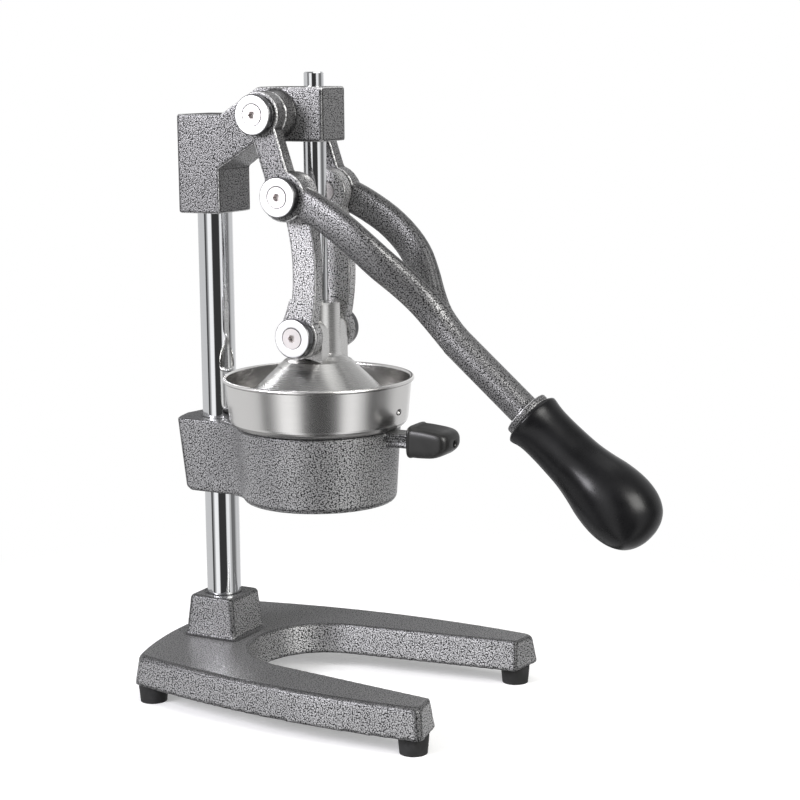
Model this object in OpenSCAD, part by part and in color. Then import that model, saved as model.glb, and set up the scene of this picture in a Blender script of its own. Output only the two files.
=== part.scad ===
// Lever citrus press: a cast base on rubber feet, a chromed column, a ring that
// holds the juice cup, and a head that guides the press rod and carries the lever.
// Millimetres. X points from the column to the open end of the base, Z is up.
// The origin is on the counter, under the axis of the press rod.

/* [Base] */
// Rear end of the base's top, behind the press axis
base_rear = 121; // [112:1:135]
// Front ends of the legs, ahead of the press axis
base_front = 127; // [120:0.5:140]
// Half of the base's greatest width, on top
base_half_w = 98; // [92:1:108]
// Thickness of the base casting
base_thick = 22; // [18:0.5:28]
// Outward slope of the base's outer sides over its thickness
base_draft = 3.5; // [1:0.5:5]
// Radius of the bay in which the glass stands, on top
bay_r = 54; // [46:1:58]
// Thickness of the base's top plate over its pockets
base_plate = 7; // [5:0.5:9]
// Height of the rubber feet
foot_h = 13; // [8:1:20]
// Largest radius of a rubber foot
foot_r = 10.6; // [8:0.2:11]
// Top of the column socket above the counter
socket_top = 65.5; // [58:0.5:80]

/* [Column] */
// Diameter of the column tube
column_d = 25; // [22:0.5:28]
// Wall of the column tube
column_wall = 3; // [2:0.5:5]
// Distance from the press axis back to the column's axis
column_back = 84; // [82:1:92]

/* [Ring bracket] */
// Top face of the ring bracket
ring_top = 199; // [185:1:215]
// Height of the ring bracket
ring_h = 54; // [44:1:60]
// Outer radius of the ring at its top
ring_r = 58.5; // [58:0.5:62]
// Radius of the ring's bore
ring_bore_r = 52.6; // [50:0.2:54]
// Half width of the block that grips the column
grip_block_half = 22; // [19:0.5:24]
// Length of the tongue in front of the ring
tongue_len = 38; // [32:1:44]
// Width of the tongue
tongue_w = 17; // [12:1:20]
// Thickness of the tongue
tongue_t = 10; // [8:0.5:12]
// Length of the black grip on the tongue
side_grip_len = 31; // [28:1:44]
// Width of the black grip
side_grip_w = 30; // [26:1:36]
// Height of the black grip at the ring end
side_grip_h = 23; // [20:1:28]

/* [Juice cup] */
// Sheet thickness of the cup
cup_sheet = 1.2; // [0.8:0.1:1.6]
// Outer radius of the cup's wall under the rim
cup_wall_r = 66.6; // [65:0.2:69]
// Outer radius at the foot of the cup's wall
cup_foot_r = 64; // [62:0.2:65]
// Height of the cup's wall above the ring
cup_h = 35.5; // [30:0.5:42]
// Radius of the bead rolled on the rim
rim_bead_r = 1.5; // [1:0.1:2]
// Outer radius of the spout
spout_r = 11; // [8:0.5:14]
// Height of the strainer's dome
strainer_h = 29.6; // [26:0.2:30]

/* [Head] */
// Top of the head above the counter
head_top = 437.5; // [425:0.5:455]
// Height of the block that guides the rod
guide_h = 37.5; // [32:0.5:42]
// Half width of the guide block
guide_half_w = 16.5; // [14:0.5:17]
// Half width of the block on the column
head_half_w = 21; // [18:0.5:24]
// Height of the block on the column
head_block_h = 70; // [60:1:80]

/* [Linkage] */
// Top pivot behind the press axis
pivot_back = 21.4; // [18:0.2:23]
// Top pivot below the top of the head
pivot_drop = 18.5; // [17:0.5:20]
// Radius of the bosses and eyes at the top pivot
top_eye_r = 16; // [14:0.2:17]
// Elbow pivot behind the press axis, lever down
elbow_back = 3.2; // [1:0.2:6]
// Elbow's place on the way down from the top pivot to the press pivot
elbow_share = 0.3607; // [0.33:0.001:0.39]
// Radius of the lever's boss at the elbow
elbow_r = 17.5; // [16:0.5:19]
// Press pivot above the ring's top face, lever down
press_above_ring = 66.4; // [64:0.2:69]
// Radius of the press pivot's eyes and lugs
press_eye_r = 14; // [12:0.5:15]
// Thickness of each curved link
link_t = 10.1; // [8:0.1:12]
// Width of each curved link
link_w = 19.2; // [16:0.2:21]
// Bow of each curved link off its straight line
link_bow = 8; // [5:0.2:10]
// Thickness of each lever arm
arm_t = 11.5; // [10:0.5:13]
// Depth of each lever arm
arm_w = 22.8; // [20:0.2:25]
// Radius of the lever's bar
bar_r = 11; // [9:0.5:12]
// Radius of the round caps on the pivots
cap_r = 14; // [12:0.5:14.5]
// Thickness of the round caps
cap_t = 7; // [5:0.5:9]

/* [Press] */
// Diameter of the press rod
rod_d = 16; // [14:0.5:17]
// Height of the rod above the head
rod_above = 10; // [6:0.5:14]
// Radius of the press head's neck
neck_r = 16.2; // [15.4:0.2:17.4]
// Top of the neck above the press pivot
neck_above = 22.6; // [18:0.2:26]
// Radius of the bell's lower edge
bell_r = 54; // [50:0.5:56]
// Wall of the bell, measured upright
bell_wall = 5.5; // [4:0.5:6]

/* [Handle] */
// Length of the black handle
handle_len = 114; // [105:1:130]
// Largest radius of the handle
handle_r = 26.3; // [23:0.1:28]
// Slope of the lever's bar below level
bar_slope = 40.7; // [36:0.1:44]

/* [Hidden] */
$fn = 64;

// Clearances and overruns shared by all pieces
run_fit = 0.05;     // radial play of a shaft in its bore
side_play = 0.3;    // play between pieces that swing past each other
lug_out = 2.1;      // the press's lugs stand out of its neck by this much
chamfer = 1;        // small chamfers, and threads that end short of their holes
over = 2;           // overrun of a cut past its face
skin = 0.02;        // thickness of a slab that a blended shape is spanned from
steps = 8;          // points on a blended corner or a drawn curve

iron = "#77787a";
chrome = "#d9dadc";
steel = "#b9babb";
black = "#1c1c1d";

// Derived places
base_top = foot_h + base_thick;
col_r = column_d/2;
rod_r = rod_d/2;
pivot_z = head_top - pivot_drop;
press_pivot_z = ring_top + press_above_ring;
elbow_z = pivot_z - elbow_share*(pivot_z - press_pivot_z);
ring_bottom = ring_top - ring_h;
guide_bottom = head_top - guide_h;
lug_half = neck_r + lug_out;
link_in = lug_half + side_play;
link_out = link_in + link_t;
arm_in = link_out + side_play;
arm_out = arm_in + arm_t;
seat_z = ring_top;

// A point on the quadratic curve from a to c that leans towards b
function lean(a, b, c, t) = (1 - t)*(1 - t)*a + 2*t*(1 - t)*b + t*t*c;
// The rounded corner at b, cut back by r towards a and c
function corner(a, b, c, r) = [
    for (i = [0:steps]) lean(b + r*(a - b)/norm(a - b), b, b + r*(c - b)/norm(c - b), i/steps)
];
// A closed outline with every corner rounded by r
function rounded(pts, r) = [
    for (i = [0:len(pts) - 1])
        each corner(pts[(i + len(pts) - 1) % len(pts)], pts[i], pts[(i + 1) % len(pts)], r)
];
function box_pts(x0, x1, half) = [[x0, -half], [x1, -half], [x1, half], [x0, half]];
function flip(pts) = [for (i = [len(pts) - 1:-1:0]) [pts[i][0], -pts[i][1]]];
function down(pts) = [for (i = [len(pts) - 1:-1:0]) pts[i]];

// Stands an outline drawn in X and Z between two planes of Y
module upright(y0, y1) {
    translate([0, y1, 0]) rotate([90, 0, 0]) linear_extrude(height = y1 - y0) children();
}
// A thin slab of an outline at height z
module slab(z, pts) {
    translate([0, 0, z]) linear_extrude(height = skin) polygon(pts);
}
// A rod of radius r along Y between two planes
module across(r, y0, y1) {
    translate([0, y0, 0]) rotate([-90, 0, 0]) cylinder(h = y1 - y0, r = r);
}
// A rod along X, pointing back from x
module rearward(r, len) {
    rotate([0, -90, 0]) cylinder(h = len, r = r);
}

// Base casting: a horseshoe with sloping sides, a column socket and pockets below
widest_x = 50;          // where the base is widest
side_bow_r = 651;       // radius of the bowed sides
rear_bow_r = 234;       // radius of the bowed rear
base_corner = 5;        // outer corners cut back by this much
leg_slant = 0.16;       // slope of the legs' ends back towards the bay
base_edge = 2;          // rounding of the top edge
bay_flare = 7.2;        // degrees by which the bay widens to the front
bay_draft = 5;          // the bay narrows by this much towards its underside
socket_foot = [43.5, 43]; // the socket's footprint
socket_head = [36.5, 38.5];
socket_floor = 9;       // metal left under the column
pocket_wall = 6;
foot_in_x = 21;         // feet in from the base's ends
front_foot_in_x = 10;
rear_foot_in_y = 9;     // feet in from its sides
foot_in_y = 12;

function side_y(x, inset) = base_half_w - inset - pow(x - widest_x, 2)/(2*side_bow_r);
function rear_x(y, inset) = -base_rear + inset + y*y/(2*rear_bow_r);
function rear_corner(inset) =
    let (x1 = rear_x(side_y(-base_rear, inset), inset), y1 = side_y(x1, inset))
    [rear_x(y1, inset), y1];
function base_half(inset) =
    let (rc = rear_corner(inset), fx = base_front - inset, fc = [fx, side_y(fx, inset)],
         y_end = rc[1] - base_corner, x_end = rc[0] + base_corner, x_far = fx - base_corner)
    concat(
        [for (i = [1:steps]) let (y = y_end*i/steps) [rear_x(y, inset), y]],
        [for (i = [1:steps - 1])
            lean([rear_x(y_end, inset), y_end], rc, [x_end, side_y(x_end, inset)], i/steps)],
        [for (i = [0:steps]) let (x = x_end + (x_far - x_end)*i/steps) [x, side_y(x, inset)]],
        [for (i = [1:steps])
            lean([x_far, side_y(x_far, inset)], fc, [fx, fc[1] - base_corner], i/steps)]
    );
function base_outline(inset) = concat([[rear_x(0, inset), 0]], base_half(inset), flip(base_half(inset)));
function bay_half(x, inset) = bay_r/cos(bay_flare) - inset + x*tan(bay_flare);
function foot_places() =
    let (rx = -base_rear + foot_in_x, fx = base_front - front_foot_in_x)
    [for (s = [-1, 1]) each [[rx, s*(side_y(rx, 0) - rear_foot_in_y)],
                             [fx, s*(side_y(fx, 0) - foot_in_y)]]];
bay_end = base_front + base_draft + over;
module bay_slab(z, inset) {
    translate([0, 0, z]) linear_extrude(height = skin) {
        circle(r = bay_r - inset);
        polygon([[0, -bay_half(0, inset)], [bay_end, -bay_half(bay_end, inset)],
                 [bay_end, bay_half(bay_end, inset)], [0, bay_half(0, inset)]]);
    }
}
// The wedge cut from the legs' ends at one height
module slant_slab(z, inset) {
    tip = base_front - inset - leg_slant*side_y(base_front, inset);
    translate([0, 0, z]) linear_extrude(height = skin)
        polygon([[tip, 0], [base_front + 3*over, -(base_front + 3*over - tip)/leg_slant],
                 [base_front + 3*over, (base_front + 3*over - tip)/leg_slant]]);
}
module leg_pocket(side) {
    x0 = 0;
    x1 = base_front - front_foot_in_x - foot_r - pocket_wall;
    inner = [for (i = [0:steps]) let (x = x0 + (x1 - x0)*i/steps) [x, side*(bay_half(x, 0) + pocket_wall)]];
    outer = [for (i = [steps:-1:0]) let (x = x0 + (x1 - x0)*i/steps) [x, side*(side_y(x, 0) - pocket_wall)]];
    translate([0, 0, foot_h - over]) linear_extrude(height = base_thick - base_plate + over)
        polygon(concat(inner, outer));
}
module rear_pocket(side) {
    y0 = socket_foot[1]/2 + pocket_wall;
    y1 = side_y(-base_rear, 0) - rear_foot_in_y - foot_r - pocket_wall;
    x1 = -bay_r - pocket_wall;
    translate([0, 0, foot_h - over]) linear_extrude(height = base_thick - base_plate + over)
        polygon([[rear_x(y0, pocket_wall), side*y0], [rear_x(y1, pocket_wall), side*y1],
                 [x1, side*y1], [x1, side*y0]]);
}
foot_thread_r = 2;
foot_thread_len = 9;
grub_r = 4;             // grub screws that lock the castings on the column
grub_len = 10;
socket_grub_drop = 12;
socket_grub_z = socket_top - socket_grub_drop;
module base_casting() {
    color(iron) difference() {
        union() {
            hull() {
                slab(foot_h, base_outline(-base_draft));
                slab(base_top - base_edge, base_outline(-base_draft*base_edge/base_thick));
                slab(base_top - skin, base_outline(base_edge));
            }
            translate([-column_back, 0, 0]) hull() {
                slab(base_top - base_edge, rounded(box_pts(-socket_foot[0]/2, socket_foot[0]/2,
                    socket_foot[1]/2), base_edge));
                slab(socket_top - base_edge/2, rounded(box_pts(-socket_head[0]/2, socket_head[0]/2,
                    socket_head[1]/2), base_edge));
                slab(socket_top - skin, rounded(box_pts(-socket_head[0]/2 + base_edge/2,
                    socket_head[0]/2 - base_edge/2, socket_head[1]/2 - base_edge/2), base_edge));
            }
        }
        hull() {
            bay_slab(foot_h - over, bay_draft*(1 + over/base_thick));
            bay_slab(base_top + over, -bay_draft*over/base_thick);
        }
        hull() {
            slant_slab(foot_h - over, -base_draft);
            slant_slab(base_top + over, 0);
        }
        for (side = [-1, 1]) {
            leg_pocket(side);
            rear_pocket(side);
        }
        translate([-column_back, 0, foot_h + socket_floor])
            cylinder(h = socket_top - foot_h, r = col_r + run_fit);
        for (p = foot_places()) translate([p[0], p[1], foot_h - over])
            cylinder(h = foot_thread_len + over, r = foot_thread_r + run_fit);
        translate([-column_back, 0, socket_grub_z]) rearward(grub_r + run_fit, base_rear);
    }
}

// Rubber feet: tapered, hollowed below for their screws
foot_recess_r = 5;
foot_recess_h = 5;
module rubber_feet() {
    color(black) for (p = foot_places()) translate([p[0], p[1], 0]) difference() {
        union() {
            cylinder(h = foot_h - base_edge, r1 = foot_r - base_edge/2, r2 = foot_r);
            translate([0, 0, foot_h - base_edge]) cylinder(h = base_edge, r = foot_r);
        }
        translate([0, 0, -over]) cylinder(h = foot_recess_h + over, r = foot_recess_r);
        translate([0, 0, -over]) cylinder(h = foot_h + 2*over, r = foot_thread_r + 3*run_fit);
    }
}
foot_head_r = 4;
foot_head_h = 2.6;
module foot_screws() {
    color(steel) for (p = foot_places()) translate([p[0], p[1], foot_recess_h]) {
        translate([0, 0, -foot_head_h]) difference() {
            cylinder(h = foot_head_h, r = foot_head_r);
            translate([0, 0, -over]) cylinder(h = over + foot_head_h/2, r = foot_thread_r/2, $fn = 6);
        }
        cylinder(h = foot_h - foot_recess_h + foot_thread_len - chamfer, r = foot_thread_r);
    }
}

// A grub screw with a hexagon socket, its point on the column
module grub(z) {
    translate([-column_back - col_r, 0, z]) difference() {
        rearward(grub_r, grub_len);
        translate([-grub_len/2, 0, 0]) rotate([0, -90, 0])
            cylinder(h = grub_len, r = grub_r/2, $fn = 6);
    }
}
module base_set_screw() { color(steel) grub(socket_grub_z); }

// Column: a chromed tube from the base's socket into the head
block_drop = 19;        // the head's block lies below the head's top by this much
head_block_bottom = head_top - block_drop - head_block_h;
head_roof = 12;         // metal over the column's end
column_low = foot_h + socket_floor;
column_high = head_block_bottom + head_block_h - head_roof;
module column_tube() {
    color(chrome) translate([-column_back, 0, column_low]) difference() {
        cylinder(h = column_high - column_low, r = col_r);
        translate([0, 0, -over]) cylinder(h = column_high - column_low + 2*over, r = col_r - column_wall);
    }
}

// Ring bracket: a ring for the cup, drawn into a block that slides on the column
ring_taper = 0.947;     // lower outline as a share of the upper one
ring_edge = 3;          // rounding of the lower edge
ring_edge_share = 0.965;
block_metal = 10.5;     // metal behind the column
block_rear = column_back + col_r + block_metal;
block_bow = 6;          // the block's rear bows out by this much
neck_fillet = 35;       // fillet between block and ring
tongue_root = 6;        // how far the tongue starts inside the ring's wall
groove_d = 1;           // grooves along the tongue's sides
groove_h = 5.5;
bracket_grub_z = ring_bottom + ring_h/2;
function bracket_outline() =
    let (fx = -sqrt(pow(ring_r + neck_fillet, 2) - pow(grip_block_half + neck_fillet, 2)),
         fy = grip_block_half + neck_fillet,
         a1 = atan2(-fy, -fx),
         half = concat(
            [[-block_rear - block_bow*0.55, grip_block_half*0.6]],
            corner([-block_rear - block_bow*0.55, grip_block_half*0.6], [-block_rear, grip_block_half],
                   [fx, grip_block_half], base_edge),
            [for (i = [0:steps]) let (a = -90 + (a1 + 90)*i/steps)
                [fx + neck_fillet*cos(a), fy + neck_fillet*sin(a)]],
            [[0, 0]]))
    concat([[-block_rear - block_bow, 0]], half, flip(half));
module bracket_blank(h, share) {
    rotate([180, 0, 0]) linear_extrude(height = h, scale = share) {
        circle(r = ring_r, $fn = 96);
        polygon(bracket_outline());
    }
}
module tongue_bar(play, len) {
    translate([ring_r - tongue_root, -tongue_w/2 - play, ring_top - tongue_t - play])
        cube([tongue_root + len, tongue_w + 2*play, tongue_t + play]);
}
module bowl_bracket() {
    color(iron) difference() {
        union() {
            translate([0, 0, ring_top]) bracket_blank(ring_h - ring_edge, ring_taper);
            translate([0, 0, ring_bottom + ring_edge]) scale([ring_taper, ring_taper, 1])
                bracket_blank(ring_edge, ring_edge_share);
            tongue_bar(0, tongue_len);
        }
        translate([0, 0, ring_bottom - over]) cylinder(h = ring_h + 2*over, r = ring_bore_r);
        translate([-column_back, 0, ring_bottom - over])
            cylinder(h = ring_h + 2*over, r = col_r + run_fit);
        translate([-column_back, 0, bracket_grub_z]) rearward(grub_r + run_fit, block_rear);
        for (side = [-1, 1])
            translate([ring_r + over, side*tongue_w/2, ring_top - tongue_t/2])
                cube([2*tongue_len, 2*groove_d, groove_h], center = true);
        translate([ring_r + tongue_len + over, 0, ring_top - tongue_t/2])
            rearward(grip_screw_r + run_fit, grip_thread_len + over);
    }
}
module bracket_set_screw() { color(steel) grub(bracket_grub_z); }

// Side grip: a moulded wedge pushed over the tongue and held by one screw
grip_screw_r = 1.5;
grip_thread_len = 12;
grip_face = 4;          // plastic between the tongue's end and the grip's face
grip_gap = 18.5;        // bare tongue between the ring and the grip
grip_start = ring_r + grip_gap;
grip_end = grip_start + side_grip_len;
grip_above = 7;
grip_top_z = ring_top + grip_above;
grip_fall = 0.12;       // the grip's top falls by this share of its height
grip_rise = 0.26;       // its underside rises by this share
grip_round = 0.3;       // corners cut back by this share of the section's height
grip_shares = [[0, 0, 0.087], [0.07, 0, 0], [0.6, 0.35, 0], [0.85, 0.75, 0.0435], [1, 1, 0.152]];
module side_grip() {
    color(black) difference() {
        hull() for (g = grip_shares) grip_section(g[0], g[1], g[2]*side_grip_h);
        tongue_bar(side_play/2, tongue_len + side_play);
        translate([grip_end + over, 0, ring_top - tongue_t/2])
            rearward(grip_screw_r + 2*run_fit, side_grip_len);
        translate([grip_end + over, 0, ring_top - tongue_t/2])
            rearward(grip_head_r + 2*run_fit, over + grip_head_in);
    }
}
// One cross-section of the grip, its taper run to the given share, its outline drawn in
module grip_section(along, taper, inset) {
    h = side_grip_h*(1 - taper*(grip_fall + grip_rise)) - 2*inset;
    translate([grip_start + along*(side_grip_len - skin), 0,
               grip_top_z - side_grip_h*(1 - taper*grip_rise) + inset])
        rotate([90, 0, 90]) linear_extrude(height = skin) polygon(rounded(
            [[-side_grip_w/2 + inset, 0], [side_grip_w/2 - inset, 0],
             [side_grip_w/2 - inset, h], [-side_grip_w/2 + inset, h]], grip_round*h));
}
grip_head_r = 2.4;
grip_head_in = 3;
grip_head_h = 1.8;
module side_grip_screw() {
    tip = ring_r + tongue_len - grip_thread_len + chamfer;
    color(steel) translate([grip_end - grip_head_in, 0, ring_top - tongue_t/2]) {
        rearward(grip_screw_r, grip_end - grip_head_in - tip);
        translate([grip_head_h, 0, 0]) rearward(grip_head_r, grip_head_h);
    }
}

// Juice cup: spun sheet, its funnel hanging in the ring and its spout below
cup_corner = 7.5;
cup_step_drop = 14;     // the funnel hangs this far below the ring's top
cup_step_z = seat_z - cup_step_drop;
spout_len = 8;
spout_in = 4;           // the spout ends this far above the ring's underside
spout_low = ring_bottom + spout_in;
cup_nest_r = ring_bore_r - 2*side_play;
mark_r = 2;
mark_rise = 14;
mark_z = seat_z + mark_rise;
function cup_line(t) =
    let (seat = seat_z - (t > 0 ? -t : 0), slope_in = t*1.3)
    concat(
        [[spout_r - t, spout_low], [spout_r - t, spout_low + spout_len + (t > 0 ? t/2 : 0)],
         [cup_nest_r - t, cup_step_z + (t > 0 ? slope_in/2 : 0)], [cup_nest_r - t, seat]],
        [for (i = [0:steps]) let (a = -90 + 90*i/steps)
            [cup_foot_r - cup_corner + (cup_corner - t)*cos(a),
             seat_z + cup_corner + (cup_corner - t)*sin(a)]],
        [[cup_wall_r - t, seat_z + cup_h - rim_bead_r]]
    );
module juice_cup() {
    color(steel) difference() {
        rotate_extrude($fn = 96) {
            polygon(concat(cup_line(0), down(cup_line(cup_sheet))));
            translate([cup_wall_r + rim_bead_r - cup_sheet, seat_z + cup_h - rim_bead_r])
                circle(r = rim_bead_r, $fn = 24);
        }
        translate([cup_foot_r + mark_r*0.6, 0, mark_z]) sphere(r = mark_r);
    }
}

// Strainer: a pierced dome on a flat flange, lying on the cup's floor
strainer_sheet = 1;
strainer_foot_r = 48;
strainer_rim_r = 56;
strainer_z = seat_z + cup_sheet;
hole_r = 1.6;
hole_rows = [[0.88, 16], [0.62, 12], [0.34, 6]]; // share of the foot radius, holes
function dome(r, a, b) = strainer_z + strainer_sheet + b*sqrt(max(0, 1 - pow(r/a, 2)));
function dome_line(a, b) = [for (i = [0:2*steps]) let (t = 90*i/(2*steps))
    [a*cos(t), strainer_z + strainer_sheet + b*sin(t)]];
module strainer_cone() {
    a_in = strainer_foot_r - strainer_sheet;
    b_in = strainer_h - 2*strainer_sheet;
    color(steel) difference() {
        rotate_extrude($fn = 72) polygon(concat(
            [[a_in, strainer_z], [strainer_rim_r, strainer_z],
             [strainer_rim_r, strainer_z + strainer_sheet]],
            dome_line(strainer_foot_r, strainer_h - strainer_sheet),
            down(dome_line(a_in, b_in))));
        for (row = hole_rows, i = [0:row[1] - 1]) {
            r = row[0]*strainer_foot_r;
            z = dome(r, strainer_foot_r, strainer_h - strainer_sheet);
            tilt = atan2(r/pow(strainer_foot_r, 2), (z - strainer_z)/pow(strainer_h, 2));
            rotate([0, 0, 360*i/row[1]]) translate([r, 0, z]) rotate([0, tilt, 0])
                translate([0, 0, -3*strainer_sheet]) cylinder(h = 6*strainer_sheet, r = hole_r, $fn = 16);
        }
    }
}

// Head: the block on the column, the sloping web, the guide block and the pivot bosses
head_rear_metal = 5;
head_front_metal = 4.9;
head_rear = column_back + col_r + head_rear_metal;
block_front = column_back - col_r - head_front_metal;
guide_front = 15.7;
web_rise = 32;          // the web's foot above the block's underside
web_foot_z = head_block_bottom + web_rise;
web_top_x = -36;
block_top = head_block_bottom + head_block_h;
head_grubs = [16, 46];  // heights of the grub screws above the block's underside
module head_casting() {
    color(iron) difference() {
        union() {
            intersection() {
                upright(-head_half_w, head_half_w) polygon([
                    [-head_rear, head_block_bottom], [-head_rear, block_top],
                    [-block_front + base_edge, block_top], [web_top_x, head_top],
                    [guide_front, head_top], [guide_front, guide_bottom],
                    [web_top_x, guide_bottom], [-block_front, web_foot_z],
                    [-block_front, head_block_bottom]]);
                translate([0, 0, head_block_bottom]) linear_extrude(height = head_top - head_block_bottom)
                    polygon(rounded([[-head_rear, -head_half_w], [-block_front, -head_half_w],
                        [web_top_x, -guide_half_w], [guide_front, -guide_half_w],
                        [guide_front, guide_half_w], [web_top_x, guide_half_w],
                        [-block_front, head_half_w], [-head_rear, head_half_w]], base_edge));
            }
            translate([-pivot_back, 0, pivot_z]) across(top_eye_r, -link_out, link_out);
        }
        translate([-column_back, 0, head_block_bottom - over])
            cylinder(h = head_block_h - head_roof + over + side_play, r = col_r + run_fit);
        translate([0, 0, guide_bottom - over]) cylinder(h = guide_h + 2*over, r = rod_r + run_fit);
        translate([-pivot_back, 0, pivot_z]) across(shaft_r + run_fit, -arm_out, arm_out);
        for (h = head_grubs) translate([-column_back, 0, head_block_bottom + h])
            rearward(grub_r + run_fit, head_rear);
    }
}
module head_set_screws() {
    color(steel) for (h = head_grubs) grub(head_block_bottom + h);
}

// Pivots: shafts, round caps and the countersunk screws that hold them
shaft_r = 7;
lower_shaft_r = 6;
cap_edge = 0.8;
head_cone_r = 7.2;      // countersunk screw's head at the cap's face
screw_r = 3.5;
screw_len = 18;
hex_r = 2.9;
top_cap_y = arm_out + side_play;
lower_cap_y = link_out + side_play;
// A cap whose inner face lies at y, on the side given by sign
module cap(x, y, z, sign) {
    translate([x, sign*y, z]) rotate([-90*sign, 0, 0]) difference() {
        union() {
            cylinder(h = cap_t - cap_edge, r = cap_r);
            translate([0, 0, cap_t - cap_edge]) cylinder(h = cap_edge, r1 = cap_r, r2 = cap_r - cap_edge);
        }
        translate([0, 0, -over]) cylinder(h = cap_t + over, r = screw_r + 2*run_fit);
        translate([0, 0, cap_t - head_cone_r + screw_r])
            cylinder(h = head_cone_r - screw_r, r1 = screw_r + 2*run_fit, r2 = head_cone_r + 2*run_fit);
    }
}
module cap_screw(x, y, z, sign) {
    translate([x, sign*y, z]) rotate([-90*sign, 0, 0]) difference() {
        union() {
            translate([0, 0, cap_t - screw_len])
                cylinder(h = screw_len - head_cone_r + screw_r, r = screw_r);
            translate([0, 0, cap_t - head_cone_r + screw_r])
                cylinder(h = head_cone_r - screw_r, r1 = screw_r, r2 = head_cone_r);
        }
        translate([0, 0, cap_t - screw_r]) cylinder(h = screw_r + over, r = hex_r, $fn = 6);
    }
}
// A shaft with a threaded hole in its outer end
module tapped_shaft(r, y0, y1, sign) {
    translate([0, sign*y0, 0]) rotate([-90*sign, 0, 0]) difference() {
        cylinder(h = y1 - y0, r = r);
        translate([0, 0, y1 - y0 + cap_t - screw_len - chamfer])
            cylinder(h = screw_len, r = screw_r + run_fit);
    }
}
module top_pivot_shaft() {
    color(steel) translate([-pivot_back, 0, pivot_z]) for (sign = [-1, 1])
        tapped_shaft(shaft_r, 0, top_cap_y, sign);
}
module top_cap(sign) { color(chrome) cap(-pivot_back, top_cap_y, pivot_z, sign); }
module top_cap_screws() {
    color(steel) for (sign = [-1, 1]) cap_screw(-pivot_back, top_cap_y, pivot_z, sign);
}
module elbow_pin(sign) {
    color(steel) translate([-elbow_back, 0, elbow_z]) tapped_shaft(shaft_r, arm_in, arm_out, sign);
}
module elbow_cap(sign) { color(chrome) cap(-elbow_back, arm_out, elbow_z, sign); }
module elbow_cap_screws() {
    color(steel) for (sign = [-1, 1]) cap_screw(-elbow_back, arm_out, elbow_z, sign);
}
module lower_pin(sign) {
    color(steel) translate([0, 0, press_pivot_z])
        tapped_shaft(lower_shaft_r, rod_r + chamfer, lower_cap_y, sign);
}
module lower_cap(sign) { color(chrome) cap(0, lower_cap_y, press_pivot_z, sign); }
module lower_cap_screws() {
    color(steel) for (sign = [-1, 1]) cap_screw(0, lower_cap_y, press_pivot_z, sign);
}

// Curved links: flat eyes joined by a bowed band
link_eye_in = 1;        // the upper eye is smaller than the lever's boss
link_low_out = 1.5;     // the lower eye is larger than the press's lug
link_eye_r = elbow_r - link_eye_in;
link_low_r = press_eye_r + link_low_out;
heel_shares = [[0.4, 0.2], [-0.7, 0.35], [-0.8, 0.64], [-0.58, 1.15], [-0.4, 1.7], [0.35, 1.6]];
link_dx = -elbow_back;
link_dz = elbow_z - press_pivot_z;
link_len = norm([link_dx, link_dz]);
link_lean = atan2(link_dx, link_dz);
bow_r = pow(link_len/2, 2)/(2*link_bow) + link_bow/2;
module link_outline() {
    circle(r = link_low_r);
    translate([link_dx, link_dz]) circle(r = link_eye_r);
    rotate(-link_lean) intersection() {
        translate([link_bow - bow_r, link_len/2]) difference() {
            circle(r = bow_r + link_w/2, $fn = 240);
            circle(r = bow_r - link_w/2, $fn = 240);
        }
        translate([-link_w, 0]) square([3*link_w, link_len]);
    }
}
module link(sign) {
    color(iron) translate([0, 0, press_pivot_z]) difference() {
        for (part = [0, 1])
            upright(sign > 0 ? link_in : -link_out, sign > 0 ? link_out : -link_in)
                if (part == 0) link_outline(); else polygon(link_low_r*heel_shares);
        across(lower_shaft_r + run_fit, -arm_in, arm_in);
        translate([link_dx, 0, link_dz]) across(shaft_r + run_fit, -arm_in, arm_in);
    }
}
// The elbow pin's inner part, which stays in the link's upper eye
module link_stub(sign) {
    color(steel) translate([-elbow_back, 0, elbow_z])
        across(shaft_r, sign > 0 ? link_in : -link_out, sign > 0 ? link_out : -link_in);
}

// Lever: two arms with eyes and bosses, drawn together into one bar with a collar
short_arm_half = 9.6;
bar_ahead = 105;        // where the arms have become one bar, ahead of the press axis
bar_above_ring = 69.9;
bar_start = [bar_ahead, ring_top + bar_above_ring];
collar_r = 17;
collar_t = 5;
bar_len = 74;
bar_in = 5;             // the round bar starts this far below the arms' merging
tang_r = 7;
tang_len = 88;
// The arm's centre line: X and Z as shares of the way from elbow to bar, Y as a share
// of the arms' half spacing; then half depth and half thickness as shares of the bar's radius
arm_shares = [[0, 1, 0, 1, 0.52], [0.12, 1, 0.042, 1, 0.52], [0.25, 1, 0.113, 1, 0.53],
    [0.4, 1, 0.218, 1, 0.56], [0.54, 0.94, 0.35, 1.02, 0.6], [0.65, 0.78, 0.479, 1.05, 0.66],
    [0.742, 0.5, 0.603, 1.05, 0.7], [0.824, 0.22, 0.733, 1.02, 0.8], [0.902, 0.05, 0.86, 0.98, 0.9],
    [1, 0, 0.99, 0.96, 0.97], [1.065, 0, 1.063, 0.96, 0.99], [1.14, 0, 1.137, 0.96, 0.99]];
arm_rings = 30;
arm_sides = 20;
function spline(p, t) =
    let (i = min(floor(t), len(p) - 2), u = t - i, a = p[max(i - 1, 0)], b = p[i], c = p[i + 1],
         d = p[min(i + 2, len(p) - 1)])
    (2*b + (c - a)*u + (2*a - 5*b + 4*c - d)*u*u + (3*b - a - 3*c + d)*u*u*u)/2;
function arm_at(t) = let (q = spline(arm_shares, t))
    [-elbow_back + q[0]*(bar_start[0] + elbow_back), q[1]*(arm_in + arm_out)/2,
     elbow_z + q[2]*(bar_start[1] - elbow_z)];
function squarish(a, n) = [sign(cos(a))*pow(abs(cos(a)), 2/n), sign(sin(a))*pow(abs(sin(a)), 2/n)];
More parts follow.
